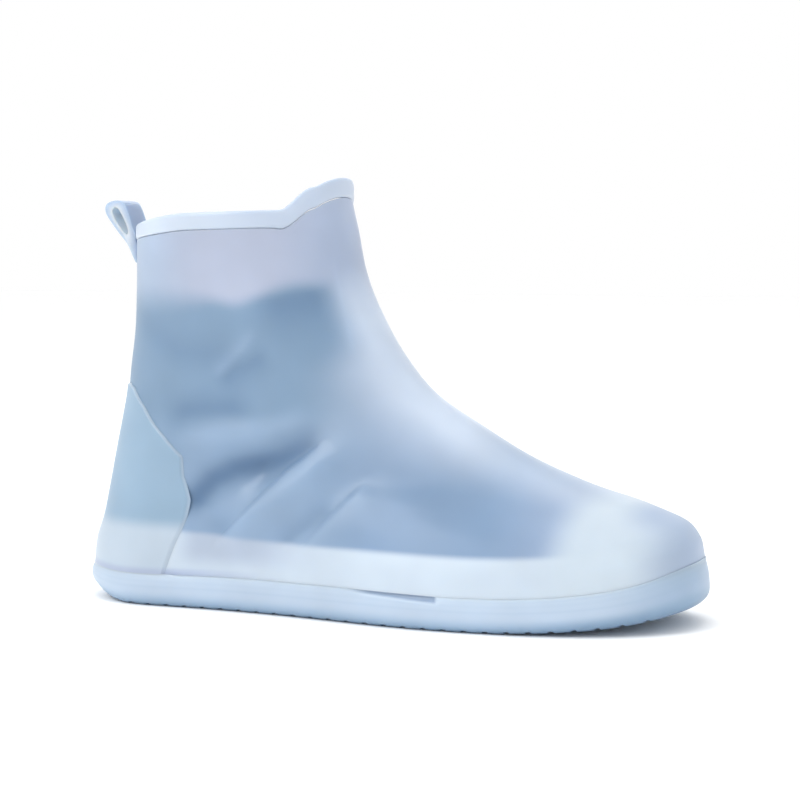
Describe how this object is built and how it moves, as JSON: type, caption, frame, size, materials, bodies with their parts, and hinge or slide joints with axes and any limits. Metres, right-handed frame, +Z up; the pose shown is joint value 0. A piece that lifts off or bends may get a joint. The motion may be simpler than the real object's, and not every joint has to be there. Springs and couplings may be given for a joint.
{
  "type": "overshoe",
  "caption": "Hollow high-top rubber shoe cover for a right foot, with cup outsole, thickened collar rim rising to a front tongue, heel panel and rear pull loop.",
  "frame": {"origin": "on the ground under the middle of the cover's bounding box", "axes": "+X from heel to toe, +Y to the inner (medial) side of the right foot, +Z up"},
  "size_m": [0.3004, 0.1066, 0.1991],
  "materials": {
    "outsole": "frosted, milky blue moulded rubber",
    "upper_shell": "frosted, translucent blue moulded rubber",
    "collar_band": "thick milky rim of the same rubber",
    "pull_loop": "moulded loop of the same rubber",
    "heel_counter": "raised panel of the same rubber"
  },
  "bodies": {
    "root": {"outsole": "outsole", "upper_shell": "upper_shell", "collar_band": "collar_band", "pull_loop": "pull_loop", "heel_counter": "heel_counter"}
  },
  "joints": []
}
